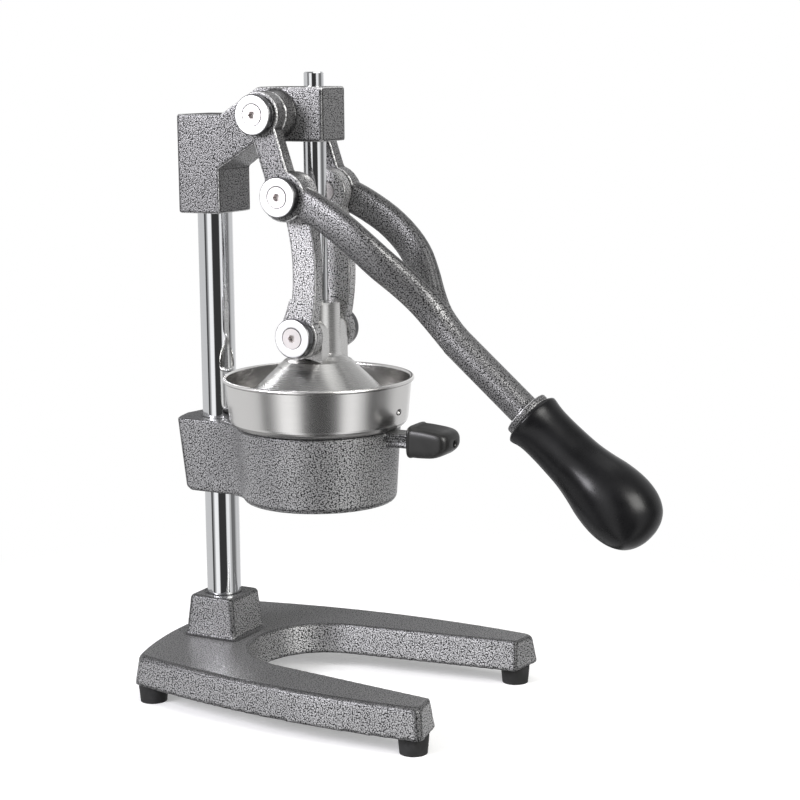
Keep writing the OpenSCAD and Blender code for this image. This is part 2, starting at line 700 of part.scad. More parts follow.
function arm_ring(t) =
    let (span = len(arm_shares) - 1, e = 0.05, q = spline(arm_shares, t),
         d = arm_at(min(span, t + e)) - arm_at(max(0, t - e)),
         n = cross(d, [0, 1, 0])/norm(cross(d, [0, 1, 0])),
         side = cross(n, d)/norm(d), power = 2 + 1.6*max(0, 1 - t/(span/2)))
    [for (j = [0:arm_sides - 1]) let (s = squarish(360*(j + 0.5)/arm_sides, power))
        arm_at(t) + n*s[0]*q[3]*bar_r*arm_w/(2*bar_r) + side*s[1]*q[4]*bar_r];
module arm() {
    last = arm_rings*arm_sides;
    polyhedron(
        points = [for (i = [0:arm_rings]) each arm_ring(i*(len(arm_shares) - 1)/arm_rings)],
        faces = concat(
            [[for (j = [arm_sides - 1:-1:0]) j]],
            [[for (j = [0:arm_sides - 1]) last + j]],
            [for (i = [0:arm_rings - 1], j = [0:arm_sides - 1])
                let (k = (j + 1) % arm_sides, a = i*arm_sides, b = a + arm_sides)
                each [[a + j, b + k, b + j], [a + j, a + k, b + k]]]));
}
module along_bar(s) {
    translate([bar_start[0], 0, bar_start[1]]) rotate([0, 90 + bar_slope, 0])
        translate([0, 0, s]) children();
}
module short_arms() {
    a = [-pivot_back, pivot_z];
    b = [-elbow_back, elbow_z];
    n = [b[1] - a[1], a[0] - b[0]]/norm(b - a)*short_arm_half;
    for (sign = [-1, 1])
        upright(sign > 0 ? arm_in : -arm_out, sign > 0 ? arm_out : -arm_in)
            polygon([a - n, a + n, b + n, b - n]);
}
module lever_yoke() {
    color(iron) difference() {
        union() {
            arm();
            mirror([0, 1, 0]) arm();
            short_arms();
            for (sign = [-1, 1]) {
                y0 = sign > 0 ? arm_in : -arm_out;
                translate([-pivot_back, 0, pivot_z]) across(top_eye_r, y0, y0 + arm_t);
                translate([-elbow_back, 0, elbow_z]) across(elbow_r, y0, y0 + arm_t);
            }
            along_bar(bar_in) cylinder(h = bar_len - bar_in, r = bar_r);
            along_bar(bar_len) cylinder(h = collar_t, r = collar_r);
            along_bar(bar_len) cylinder(h = collar_t + tang_len, r = tang_r);
        }
        translate([-pivot_back, 0, pivot_z]) across(shaft_r + run_fit, -arm_out - over, arm_out + over);
        translate([-elbow_back, 0, elbow_z]) across(shaft_r + run_fit, -arm_out - over, arm_out + over);
    }
}

// Handle: a turned black grip, slim behind its lip and full at its end
mouth_r = 19.8;
lip_r = 21.8;
waist_r = 18.7;
waist_out = 0.6;
// Places along the handle as shares of its length, and radii as shares of its largest one
bulb_shares = [[0.40, 0.755], [0.50, 0.83], [0.60, 0.935], [0.70, 1], [0.79, 0.985],
               [0.87, 0.90], [0.935, 0.735], [0.98, 0.46], [1, 0.16]];
module lever_handle() {
    color(black) along_bar(bar_len + collar_t) difference() {
        rotate_extrude() polygon(concat(
            [[0, 0], [mouth_r, 0], [lip_r, base_edge], [lip_r - chamfer, 2*base_edge],
             [waist_r + waist_out, handle_len*0.09], [waist_r, handle_len*0.19]],
            [for (p = bulb_shares) [handle_r*p[1], handle_len*p[0]]],
            [[0, handle_len]]));
        translate([0, 0, -over]) cylinder(h = tang_len + over + side_play, r = tang_r + run_fit);
    }
}

// Press: the rod, and the bell with its neck and lugs
neck_top = press_pivot_z + neck_above;
rod_top = head_top + rod_above;
rod_tip_in = 1.1;
rod_tip_below = 6;      // the slimmer tip reaches this far into the head
rod_short = 7.4;        // the rod ends this far below the press pivot
tip_chamfer = 0.8;
rod_tip_r = rod_r - rod_tip_in;
rod_tip_len = rod_above + rod_tip_below;
rod_foot = press_pivot_z - rod_short;
rod_screw_r = 4;
rod_screw_len = 16;
cone_r = 24;            // radius where the cone begins
cone_drop = 19.4;       // and its depth below the press pivot
cone_top = [cone_r, press_pivot_z - cone_drop];
cone_fall = 0.96;                        // fall of the cone per unit of radius
bell_band = 5.5;        // height of the band round the bell's edge
band_out = 0.5;
band_wall = 3.5;
roof_t = 5;
neck_drop = 13;
neck_blend = 3;
bell_low = cone_top[1] - (bell_r - cone_top[0])*cone_fall - bell_band;
bell_roof = cone_top[1] - roof_t;
neck_foot = press_pivot_z - neck_drop;
module guide_rod() {
    color(chrome) difference() {
        union() {
            translate([0, 0, rod_foot]) cylinder(h = rod_top - rod_tip_len - rod_foot, r = rod_r);
            translate([0, 0, rod_top - rod_tip_len]) cylinder(h = rod_tip_len - chamfer, r = rod_tip_r);
            translate([0, 0, rod_top - chamfer])
                cylinder(h = chamfer, r1 = rod_tip_r, r2 = rod_tip_r - tip_chamfer);
        }
        translate([0, 0, rod_foot - over]) cylinder(h = rod_screw_len + over, r = rod_screw_r + run_fit);
    }
}
module press_head() {
    edge_z = cone_top[1] - (bell_r - cone_top[0])*cone_fall;
    roof_r = cone_top[0] + (cone_top[1] - bell_wall - bell_roof)/cone_fall;
    color(steel) difference() {
        union() {
            rotate_extrude($fn = 96) polygon(concat(
                [[0, neck_top], [neck_r - chamfer, neck_top], [neck_r, neck_top - chamfer]],
                [for (i = [0:steps]) lean([neck_r, neck_foot], [neck_r + band_out, cone_top[1] + neck_blend],
                    cone_top, i/steps)],
                [[bell_r, edge_z], [bell_r + band_out, edge_z - chamfer], [bell_r + band_out, bell_low],
                 [bell_r - band_wall, bell_low],
                 [bell_r - band_wall, edge_z - bell_wall + band_wall*cone_fall],
                 [roof_r, bell_roof], [0, bell_roof]]));
            translate([0, 0, press_pivot_z]) across(press_eye_r, -lug_half, lug_half);
            translate([-press_eye_r, -lug_half, cone_top[1] - over])
                cube([2*press_eye_r, 2*lug_half, press_pivot_z - cone_top[1] + over]);
        }
        translate([0, 0, rod_foot]) cylinder(h = neck_top - rod_foot + over, r = rod_r + run_fit);
        translate([0, 0, bell_roof - over]) cylinder(h = rod_foot - bell_roof + 2*over,
            r = rod_screw_r + 3*run_fit);
        translate([0, 0, press_pivot_z])
            across(lower_shaft_r + run_fit, -lug_half - over, lug_half + over);
    }
}
rod_screw_head_r = 6.5;
rod_screw_head_h = 6;
module rod_screw() {
    color(steel) difference() {
        union() {
            translate([0, 0, bell_roof])
                cylinder(h = rod_foot - bell_roof + rod_screw_len - chamfer, r = rod_screw_r);
            translate([0, 0, bell_roof - rod_screw_head_h])
                cylinder(h = rod_screw_head_h, r = rod_screw_head_r);
        }
        translate([0, 0, bell_roof - rod_screw_head_h - over])
            cylinder(h = over + rod_screw_head_h/2, r = rod_screw_r*0.8, $fn = 6);
    }
}

base_casting();
rubber_feet();
foot_screws();
base_set_screw();
column_tube();
bowl_bracket();
bracket_set_screw();
side_grip();
side_grip_screw();
juice_cup();
strainer_cone();
head_casting();
head_set_screws();
top_pivot_shaft();
top_cap(-1);  // near_top_cap
top_cap(1);  // far_top_cap
top_cap_screws();
lever_yoke();
lever_handle();
elbow_pin(-1);  // near_elbow_pin
elbow_pin(1);  // far_elbow_pin
elbow_cap(-1);  // near_elbow_cap
elbow_cap(1);  // far_elbow_cap
elbow_cap_screws();
link(-1);  // near_link
link(1);  // far_link
link_stub(-1);  // near_link_stub
link_stub(1);  // far_link_stub
guide_rod();
press_head();
rod_screw();
lower_pin(-1);  // near_lower_pin
lower_pin(1);  // far_lower_pin
lower_cap(-1);  // near_lower_cap
lower_cap(1);  // far_lower_cap
lower_cap_screws();
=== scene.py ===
import math

import bmesh
import bpy
import numpy as np
from mathutils import Matrix, Vector


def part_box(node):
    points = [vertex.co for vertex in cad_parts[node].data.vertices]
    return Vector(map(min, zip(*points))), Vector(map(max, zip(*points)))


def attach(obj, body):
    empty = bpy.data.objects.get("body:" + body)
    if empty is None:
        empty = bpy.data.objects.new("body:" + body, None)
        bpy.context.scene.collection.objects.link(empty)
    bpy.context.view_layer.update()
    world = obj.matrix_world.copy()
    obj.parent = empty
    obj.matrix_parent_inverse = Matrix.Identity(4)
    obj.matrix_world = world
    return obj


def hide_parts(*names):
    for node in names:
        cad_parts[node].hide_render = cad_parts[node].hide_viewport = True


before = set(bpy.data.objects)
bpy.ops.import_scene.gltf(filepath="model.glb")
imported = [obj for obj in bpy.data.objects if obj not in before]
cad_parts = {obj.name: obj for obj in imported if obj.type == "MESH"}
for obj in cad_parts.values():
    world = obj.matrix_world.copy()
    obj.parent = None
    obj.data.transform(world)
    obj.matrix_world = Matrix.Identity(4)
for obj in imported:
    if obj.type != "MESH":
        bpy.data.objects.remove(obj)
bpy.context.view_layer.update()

MM = 0.001

# Base casting
# The press stands on one sand-cast iron horseshoe with a socket for the column. Its edges
# are soft from the mould, and it is sprayed with grey hammered enamel.

# Points closer than WELD become one, and EASE is how far each pass draws a point to its neighbours
WELD = 0.001*MM
EASE = 0.5


def linked(name, data):
    """A new object in the scene."""
    piece = bpy.data.objects.new(name, data)
    bpy.context.scene.collection.objects.link(piece)
    return piece


def cast_copy(name, node, body, cell, passes):
    """A CAD solid with a casting's soft edges; 'ridge' and 'hollow' mark its edges and hollows, where
    the enamel gets painted highlights and painted shade.
    """
    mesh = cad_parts[node].data.copy()
    piece = linked(name, mesh)
    bm = bmesh.new()
    bm.from_mesh(mesh)
    bmesh.ops.remove_doubles(bm, verts=bm.verts, dist=WELD)
    bm.to_mesh(mesh)
    bm.free()
    skin = piece.modifiers.new("skin", "REMESH")
    skin.mode = "VOXEL"
    skin.voxel_size = cell
    shaped = bpy.data.meshes.new_from_object(
        piece.evaluated_get(bpy.context.evaluated_depsgraph_get()))
    piece.modifiers.clear()
    piece.data = shaped
    bpy.data.meshes.remove(mesh)
    count = len(shaped.vertices)
    places = np.empty(count*3)
    shaped.vertices.foreach_get("co", places)
    places = places.reshape(-1, 3)
    normals = np.empty(count*3)
    shaped.vertices.foreach_get("normal", normals)
    normals = normals.reshape(-1, 3)
    ends = np.empty(len(shaped.edges)*2, dtype=np.int64)
    shaped.edges.foreach_get("vertices", ends)
    a, b = ends.reshape(-1, 2).T
    near = np.bincount(a, minlength=count) + np.bincount(b, minlength=count)
    near = np.maximum(near, 1)[:, None]
    eased = places.copy()
    for _ in range(passes):
        total = np.zeros_like(eased)
        for k in range(3):
            total[:, k] = (np.bincount(a, weights=eased[b, k], minlength=count)
                           + np.bincount(b, weights=eased[a, k], minlength=count))
        eased += EASE*(total/near - eased)
    moved = np.einsum("ij,ij->i", eased - places, normals)/cell
    shaped.vertices.foreach_set("co", eased.ravel())
    for word, mask in (("ridge", -moved), ("hollow", moved)):
        layer = shaped.attributes.new(word, "FLOAT", "POINT")
        layer.data.foreach_set("value", np.clip(mask, 0, 1).astype(np.float32))
    round_faces = np.ones(len(shaped.polygons), dtype=bool)
    shaped.polygons.foreach_set("use_smooth", round_faces)
    shaped.update()
    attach(piece, body)
    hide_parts(node)
    return piece


class Sheet:
    """Adds nodes to a node tree and joins their sockets, in the order in which they are read."""

    def __init__(self, tree):
        self.tree = tree

    def add(self, kind, values=(), **settings):
        node = self.tree.nodes.new(kind)
        for word, value in settings.items():
            setattr(node, word, value)
        for socket, value in dict(values).items():
            self.feed(node.inputs[socket], value)
        return node

    def feed(self, socket, value):
        if isinstance(value, bpy.types.NodeSocket):
            self.tree.links.new(value, socket)
        else:
            socket.default_value = value

    def math(self, operation, *values):
        return self.add("ShaderNodeMath", dict(enumerate(values)), operation=operation).outputs[0]

    def vector(self, operation, *values):
        return self.add("ShaderNodeVectorMath", dict(enumerate(values)), operation=operation)

    def span(self, value, low, high, to_low=0.0, to_high=1.0):
        return self.add("ShaderNodeMapRange", {
            "Value": value, "From Min": low, "From Max": high,
            "To Min": to_low, "To Max": to_high}, interpolation_type="SMOOTHSTEP").outputs[0]

    def mix(self, share, first, second):
        node = self.add("ShaderNodeMix", data_type="RGBA")
        self.feed(node.inputs["Factor"], share)
        self.feed(node.inputs[6], first)
        self.feed(node.inputs[7], second)
        return node.outputs[2]

    def either(self, share, first, second):
        node = self.add("ShaderNodeMix", {0: share, 2: first, 3: second}, data_type="FLOAT")
        return node.outputs[0]


def effect(name, inputs, outputs):
    """A shader node group with named sockets; returns its sheet, its inputs and its outputs."""
    tree = bpy.data.node_groups.new(name, "ShaderNodeTree")
    for word, kind, value in inputs:
        socket = tree.interface.new_socket(word, in_out="INPUT", socket_type=kind)
        socket.default_value = value
    for word, kind in outputs:
        tree.interface.new_socket(word, in_out="OUTPUT", socket_type=kind)
    given = tree.nodes.new("NodeGroupInput").outputs
    out = tree.nodes.new("NodeGroupOutput").inputs
    return Sheet(tree), given, out


BLOTS_A_METRE = 30.0
# Where a pale dome ends and a dark fleck begins, in cells from a dome's middle
DOME_TOP, DOME_FOOT = 0.15, 0.5
FLECK_FROM, FLECK_FULL = 0.42, 0.66
STRAY = 0.08
# How far the casting's edges were drawn in or filled, in cells of its mesh; they place a painted
# highlight along edges, painted shade beside them and painted shade in hollows
HIGHLIGHT_FROM, HIGHLIGHT_FULL = 0.17, 0.3
EDGE_SHADE_FROM, EDGE_SHADE_FULL = 0.03, 0.12
HOLLOW_SHADE_FROM, HOLLOW_SHADE_FULL = 0.03, 0.16


def hammered_effect():
    """Enamel that draws up as it dries: dark flecks between pale domes, a painted highlight on sharp
    edges, painted shade beside them, in hollows and on level faces.

    The domes are laid out flat, as seen along the axis that a face mostly looks along.
    """
    sheet, given, out = effect(
        "hammered enamel",
        [("Pebble", "NodeSocketFloat", 900.0), ("Settling", "NodeSocketFloat", 0.5),
         ("Bare", "NodeSocketFloat", 0.5), ("Mid", "NodeSocketColor", (0.2, 0.2, 0.2, 1)),
         ("Pale", "NodeSocketColor", (0.3, 0.3, 0.3, 1)),
         ("Dark", "NodeSocketColor", (0.05, 0.05, 0.05, 1)),
         ("Rubbed", "NodeSocketColor", (0.6, 0.6, 0.6, 1))],
        [("Color", "NodeSocketColor"), ("Roughness", "NodeSocketFloat"),
         ("Height", "NodeSocketFloat")])
    place = sheet.add("ShaderNodeTexCoord")
    where = place.outputs["Object"]
    spot = sheet.add("ShaderNodeSeparateXYZ", {"Vector": where}).outputs
    lean = sheet.add("ShaderNodeSeparateXYZ", {"Vector": place.outputs["Normal"]}).outputs
    lean_x, lean_y, lean_z = [sheet.math("ABSOLUTE", lean[k]) for k in range(3)]
    on_end = sheet.math("GREATER_THAN", lean_x, lean_y)
    on_top = sheet.math("GREATER_THAN", lean_z, sheet.math("MAXIMUM", lean_x, lean_y))
    across = sheet.either(on_top, sheet.either(on_end, spot["X"], spot["Y"]), spot["X"])
    along = sheet.either(on_top, spot["Z"], spot["Y"])
    flat = sheet.add("ShaderNodeCombineXYZ", {"X": across, "Y": along}).outputs[0]
    cells = sheet.add("ShaderNodeTexVoronoi", {
        "Vector": flat, "Scale": given["Pebble"], "Randomness": 0.85}, voronoi_dimensions="2D")
    worms = sheet.add("ShaderNodeTexNoise", {
        "Vector": where, "Scale": given["Pebble"], "Detail": 0.0}).outputs[0]
    drawn = sheet.math("ADD", cells.outputs["Distance"], sheet.span(worms, 0.3, 0.7, -STRAY, STRAY))
    flecks = sheet.span(drawn, FLECK_FROM, FLECK_FULL)
    domes = sheet.span(drawn, DOME_TOP, DOME_FOOT, 1.0, 0.0)
    blots = sheet.add("ShaderNodeTexNoise", {"Vector": where, "Scale": BLOTS_A_METRE,
                                              "Detail": 2.0})
    # Painted shade on level faces: their domes and flecks fade toward the mid grey
    level = sheet.span(lean["Z"], 0.55, 0.95)
    level_damping = sheet.math("SUBTRACT", 1.0, sheet.math("MULTIPLY", level, given["Settling"]))
    sharp = sheet.math("MULTIPLY", flecks, level_damping)
    ridge = sheet.add("ShaderNodeAttribute", attribute_name="ridge").outputs["Fac"]
    hollow = sheet.add("ShaderNodeAttribute", attribute_name="hollow").outputs["Fac"]
    # Painted highlight: a pale grey line along sharp edges, broken up by the worms
    edge = sheet.math("MULTIPLY", sheet.span(ridge, HIGHLIGHT_FROM, HIGHLIGHT_FULL),
                      sheet.span(worms, 0.4, 0.56, 0.3, 1.0))
    # Painted shade: dark lines beside the edges and dark in the hollows, such as at the ring's top edge
    # under the cup
    painted_shade_mask = sheet.math("MAXIMUM", sheet.span(ridge, EDGE_SHADE_FROM, EDGE_SHADE_FULL, 0.0, 0.6),
                      sheet.span(hollow, HOLLOW_SHADE_FROM, HOLLOW_SHADE_FULL, 0.0, 0.7))
    silver = sheet.mix(sheet.math("MULTIPLY", domes, level_damping), given["Mid"], given["Pale"])
    shaded = sheet.mix(sheet.span(blots.outputs[0], 0.35, 0.7, 0.0, 0.25), silver, given["Mid"])
    ground = sheet.mix(painted_shade_mask, sheet.mix(sharp, shaded, given["Dark"]), given["Dark"])
    highlit = sheet.math("MULTIPLY", edge, given["Bare"])
    sheet.feed(out["Color"], sheet.mix(highlit, ground, given["Rubbed"]))
    sheet.feed(out["Roughness"], sheet.span(flecks, 0.0, 1.0, 0.36, 0.6))
    sheet.feed(out["Height"], sheet.math("MULTIPLY", sheet.math("SUBTRACT", domes, flecks), level_damping))
    return sheet.tree


HAMMERED = hammered_effect()


def blank(name):
    """A new material's sheet and its Principled shader."""
    material = bpy.data.materials.new(name)
    material.use_nodes = True
    tree = material.node_tree
    return material, Sheet(tree), tree.nodes["Principled BSDF"]


def placed(sheet, group, **values):
    """A shader node group in a material, with its own values."""
    node = sheet.add("ShaderNodeGroup", node_tree=group)
    for word, value in values.items():
        sheet.feed(node.inputs[word], value)
    return node


# Black of the flecks, and of the painted shade beside edges and in hollows
FLECK_AND_SHADE_BLACK = (0.004, 0.004, 0.0045, 1)
# Grey of the painted highlight along the enamel's edges
EDGE_HIGHLIGHT_GREY = (0.9, 0.9, 0.9, 1)
DOMES_A_METRE = 980.0
ENAMEL_RELIEF = 0.3*MM


def hammered_paint(name, highlit, pale, mid):
    """Grey hammered enamel; highlit says how strong the painted highlight along its edges is."""
    material, sheet, shader = blank(name)
    enamel = placed(sheet, HAMMERED, Pebble=DOMES_A_METRE, Settling=0.45, Bare=highlit, Pale=pale,
                    Mid=mid, Dark=FLECK_AND_SHADE_BLACK, Rubbed=EDGE_HIGHLIGHT_GREY)
    relief = sheet.add("ShaderNodeBump", {"Height": enamel.outputs["Height"], "Strength": 0.22,
                                          "Distance": ENAMEL_RELIEF})
    for socket, value in (("Base Color", enamel.outputs["Color"]), ("Metallic", 0.6),
                          ("Roughness", enamel.outputs["Roughness"]), ("Normal", relief.outputs[0]),
                          ("Coat Weight", 0.25), ("Coat Roughness", 0.25)):
        sheet.feed(shader.inputs[socket], value)
    return material


def dress(piece, material):
    """Puts a material on a new piece, or in the slots of a CAD node."""
    if len(piece.material_slots):
        for place in piece.material_slots:
            place.material = material
    else:
        piece.data.materials.append(material)


# The base and the bracket get painted shade beside their edges and in hollows, and no painted highlight
grey_enamel = hammered_paint("grey hammered enamel", 0.0, pale=(0.52, 0.52, 0.524, 1),
                             mid=(0.22, 0.22, 0.222, 1))
base = cast_copy("base_horseshoe", "base_casting", "frame", 1.0*MM, 9)
dress(base, grey_enamel)

# Feet
# Four feet of matt black moulded rubber stand under the base's corners. Each is held by one
# plain steel screw, which sits deep in the foot's hollow.

RUBBER_GRAINS, RUBBER_DUST = 1800.0, 90.0
RUBBER_BLACK = (0.012, 0.012, 0.012, 1)
RUBBER_DUSTY = (0.04, 0.04, 0.042, 1)
RUBBER_RELIEF = 0.1*MM


def moulded_rubber():
    """Matt rubber with a fine grain and a little dust."""
    material, sheet, shader = blank("matt black rubber")
    where = sheet.add("ShaderNodeTexCoord").outputs["Object"]
    grain = sheet.add("ShaderNodeTexNoise", {"Vector": where, "Scale": RUBBER_GRAINS, "Detail": 2.0})
    dust = sheet.add("ShaderNodeTexNoise", {"Vector": where, "Scale": RUBBER_DUST, "Detail": 4.0})
    relief = sheet.add("ShaderNodeBump", {"Height": grain.outputs[0], "Strength": 0.3,
                                          "Distance": RUBBER_RELIEF})
    dusty = sheet.span(dust.outputs[0], 0.45, 0.75, 0.0, 0.5)
    sheet.feed(shader.inputs["Base Color"], sheet.mix(dusty, RUBBER_BLACK, RUBBER_DUSTY))
    sheet.feed(shader.inputs["Roughness"], sheet.span(dust.outputs[0], 0.3, 0.7, 0.62, 0.8))
    sheet.feed(shader.inputs["Normal"], relief.outputs[0])
    return material


dress(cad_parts["rubber_feet"], moulded_rubber())

SMUDGES_A_METRE = 60.0


def lathe_effect():
    """Fine rings left by a tool, round an axis that goes through a point."""
    sheet, given, out = effect(
        "turned rings",
        [("Centre", "NodeSocketVector", (0, 0, 0)), ("Along", "NodeSocketVector", (0, 0, 1)),
         ("Rings", "NodeSocketFloat", 3000.0)],
        [("Rings", "NodeSocketFloat"), ("Smudge", "NodeSocketFloat"), ("Faced", "NodeSocketFloat"),
         ("Inward", "NodeSocketFloat")])
    place = sheet.add("ShaderNodeTexCoord")
    where = place.outputs["Object"]
    arm = sheet.vector("SUBTRACT", where, given["Centre"]).outputs[0]
    rise = sheet.vector("DOT_PRODUCT", arm, given["Along"]).outputs["Value"]
    side = sheet.vector("CROSS_PRODUCT", arm, given["Along"]).outputs[0]
    reach = sheet.vector("LENGTH", side).outputs["Value"]
    spun = sheet.add("ShaderNodeCombineXYZ", {"X": reach, "Y": rise})
    rings = sheet.add("ShaderNodeTexNoise", {"Vector": spun.outputs[0], "Scale": given["Rings"],
                                             "Detail": 3.0, "Roughness": 0.6})
    smudge = sheet.add("ShaderNodeTexNoise", {"Vector": where, "Scale": SMUDGES_A_METRE,
                                               "Detail": 4.0})
    sheet.feed(out["Rings"], rings.outputs[0])
    sheet.feed(out["Smudge"], smudge.outputs[0])
    facing = sheet.vector("DOT_PRODUCT", place.outputs["Normal"], given["Along"]).outputs["Value"]
    sheet.feed(out["Faced"], sheet.span(sheet.math("ABSOLUTE", facing), 0.55, 0.8))
    outward = sheet.vector("DOT_PRODUCT", place.outputs["Normal"], arm).outputs["Value"]
    outward = sheet.math("DIVIDE", outward, reach)
    sheet.feed(out["Inward"], sheet.span(outward, -0.25, 0.05, 1.0, 0.0))
    return sheet.tree


TURNED = lathe_effect()
RING_RELIEF = 0.05*MM
# Dark grey that painted shade turns the metal toward
SHADED_METAL = (0.12, 0.117, 0.112, 1)


def turned_metal(name, pale, dark, rough, centre=(0, 0, 0), along=(0, 0, 1), rings=3000.0,
                 depth=0.12, anisotropic=0.0, smudge=0.05, painted_shade=("Faced", 0.0)):
    """Uncoated metal off a lathe or polishing wheel: rings in its colour, gloss and surface, and painted
    shade where a mask says.
    """
    material, sheet, shader = blank(name)
    marks = placed(sheet, TURNED, Centre=centre, Along=along, Rings=rings)
    relief = sheet.add("ShaderNodeBump", {"Height": marks.outputs["Rings"], "Strength": depth,
                                          "Distance": RING_RELIEF})
    bright = sheet.mix(sheet.span(marks.outputs["Rings"], 0.3, 0.7), pale, dark)
    # Painted shade: the colour turns toward SHADED_METAL by the named mask and amount
    where, amount = painted_shade
    shaded = sheet.math("MULTIPLY", marks.outputs[where], amount)
    sheet.feed(shader.inputs["Base Color"], sheet.mix(shaded, bright, SHADED_METAL))
    gloss = sheet.math("ADD", sheet.span(marks.outputs["Rings"], 0.3, 0.7, rough*0.94, rough*1.06),
                       sheet.span(marks.outputs["Smudge"], 0.4, 0.8, 0.0, smudge))
    for socket, value in (("Metallic", 1.0), ("Roughness", gloss), ("Normal", relief.outputs[0]),
                          ("Anisotropic", anisotropic)):
        sheet.feed(shader.inputs[socket], value)
    return material


screw_steel = turned_metal("plain screw steel", (0.62, 0.59, 0.58, 1), (0.48, 0.46, 0.45, 1), 0.28)
dress(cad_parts["foot_screws"], screw_steel)

# Column
# A chromed steel tube stands in the base's socket and carries the bracket and the head. A
# grub screw in the socket's back holds its foot.

CHROME_PALE = (0.86, 0.87, 0.88, 1)
CHROME_DARK = (0.845, 0.855, 0.865, 1)
# How far an edge is rounded, from which angle on, and under which angle faces shade as one
ROUNDED = 0.25*MM
ROUNDED_FROM = math.radians(25)
SMOOTH_UNDER = math.radians(24)


def piece_of(name, bm, body):
    """A finished bmesh as a new object that rides on a body."""
    mesh = bpy.data.meshes.new(name)
    bm.to_mesh(mesh)
    bm.free()
    piece = linked(name, mesh)
    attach(piece, body)
    return piece


def walls(bm, rings):
    """Smooth faces between each ring of points and the next."""
    for ring, after in zip(rings, rings[1:]):
        for k in range(len(ring)):
            n = (k + 1) % len(ring)
            bm.faces.new((ring[k], ring[n], after[n], after[k])).smooth = True


def turned_piece(name, node, body, middle, line, along=(0, 0, 1), sides=128):
    """A solid of revolution about an axis that stands for a CAD node; a closed line leaves a bore."""
    middle, along = Vector(middle), Vector(along)
    first_way = Vector((1, 0, 0))
    second_way = along.cross(first_way)
    turns = [2*math.pi*k/sides for k in range(sides)]
    bm = bmesh.new()
    rings = []
    for r, h in line:
        rings.append([bm.verts.new(
            middle + along*h + (first_way*math.cos(a) + second_way*math.sin(a))*r) for a in turns])
    walls(bm, rings)
    if line[0] == line[-1]:
        bmesh.ops.remove_doubles(bm, verts=bm.verts, dist=WELD)
    else:
        bm.faces.new(reversed(rings[0]))
        bm.faces.new(rings[-1])
    edges = [e for e in bm.edges
             if len(e.link_faces) == 2 and e.calc_face_angle() > ROUNDED_FROM]
    bmesh.ops.bevel(bm, geom=edges, offset=ROUNDED, segments=3, affect="EDGES", profile=0.5)
    bmesh.ops.recalc_face_normals(bm, faces=bm.faces)
    for edge in bm.edges:
        edge.smooth = len(edge.link_faces) == 2 and edge.calc_face_angle() < SMOOTH_UNDER
    piece = piece_of(name, bm, body)
    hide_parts(node)
    return piece


low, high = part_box("column_tube")
column_middle = ((low[0] + high[0])/2, 0, 0)
column_r = (high[0] - low[0])/2
column = turned_piece("chromed_column", "column_tube", "frame", column_middle,
                      [(column_r, low[2]), (column_r, high[2])])
dress(column, turned_metal("bright chrome", CHROME_PALE, CHROME_DARK, 0.045, centre=column_middle,
                           rings=900.0, depth=0.02))
dress(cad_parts["base_set_screw"], screw_steel)

# Ring bracket
# One iron casting carries the cup: a ring, a block that slides on the column and a flat tongue
# for the side grip. It is enamelled like the base, and a grub screw locks it at its height.

bracket = cast_copy("ring_bracket", "bowl_bracket", "frame", 0.9*MM, 6)
dress(bracket, grey_enamel)
dress(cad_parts["bracket_set_screw"], screw_steel)

# Side grip
# A wedge of black moulded plastic is pushed over the ring's tongue. A dark screw goes in
# through a hole in its end.

PLASTIC_GRAINS, PLASTIC_CLOUDS = 2600.0, 40.0
PLASTIC_RELIEF = 0.06*MM


def moulded_black(name, rough, colour, gloss):
    """Black plastic with a fine grain and a cloudy gloss."""
    material, sheet, shader = blank(name)
    where = sheet.add("ShaderNodeTexCoord").outputs["Object"]
    grain = sheet.add("ShaderNodeTexNoise", {"Vector": where, "Scale": PLASTIC_GRAINS,
                                              "Detail": 2.0})
    cloud = sheet.add("ShaderNodeTexNoise", {"Vector": where, "Scale": PLASTIC_CLOUDS,
                                              "Detail": 5.0})
    relief = sheet.add("ShaderNodeBump", {"Height": grain.outputs[0], "Strength": 0.12,
                                          "Distance": PLASTIC_RELIEF})
    lighter = tuple(1.5*c for c in colour[:3]) + (1,)
    sheet.feed(shader.inputs["Base Color"],
               sheet.mix(sheet.span(cloud.outputs[0], 0.35, 0.7), colour, lighter))
    sheet.feed(shader.inputs["Roughness"],
               sheet.span(cloud.outputs[0], 0.3, 0.75, rough - 0.04, rough + 0.08))
    sheet.feed(shader.inputs["Normal"], relief.outputs[0])
    sheet.feed(shader.inputs["Specular IOR Level"], gloss)
    return material


def smooth_line(points, parts):
    """Points along a smooth curve through the given ones."""
    line = []
    for i in range(len(points) - 1):
        a, b = points[max(i - 1, 0)], points[i]
        c, d = points[i + 1], points[min(i + 2, len(points) - 1)]
        for k in range(parts):
            u = k/parts
            line.append(tuple(
                (2*b[j] + (c[j] - a[j])*u + (2*a[j] - 5*b[j] + 4*c[j] - d[j])*u*u
                 + (3*b[j] - a[j] - 3*c[j] + d[j])*u**3)/2 for j in range(len(b))))
    line.append(points[-1])
    return line


def skinned_piece(name, node, body, sections):
    """A closed skin over sections with equal counts of points, which stands for a CAD node."""
    bm = bmesh.new()
    rings = [[bm.verts.new(point) for point in section] for section in sections]
    walls(bm, rings)
    bm.faces.new(reversed(rings[0]))
    bm.faces.new(rings[-1])
    bmesh.ops.recalc_face_normals(bm, faces=bm.faces)
    piece = piece_of(name, bm, body)
    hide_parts(node)
    return piece


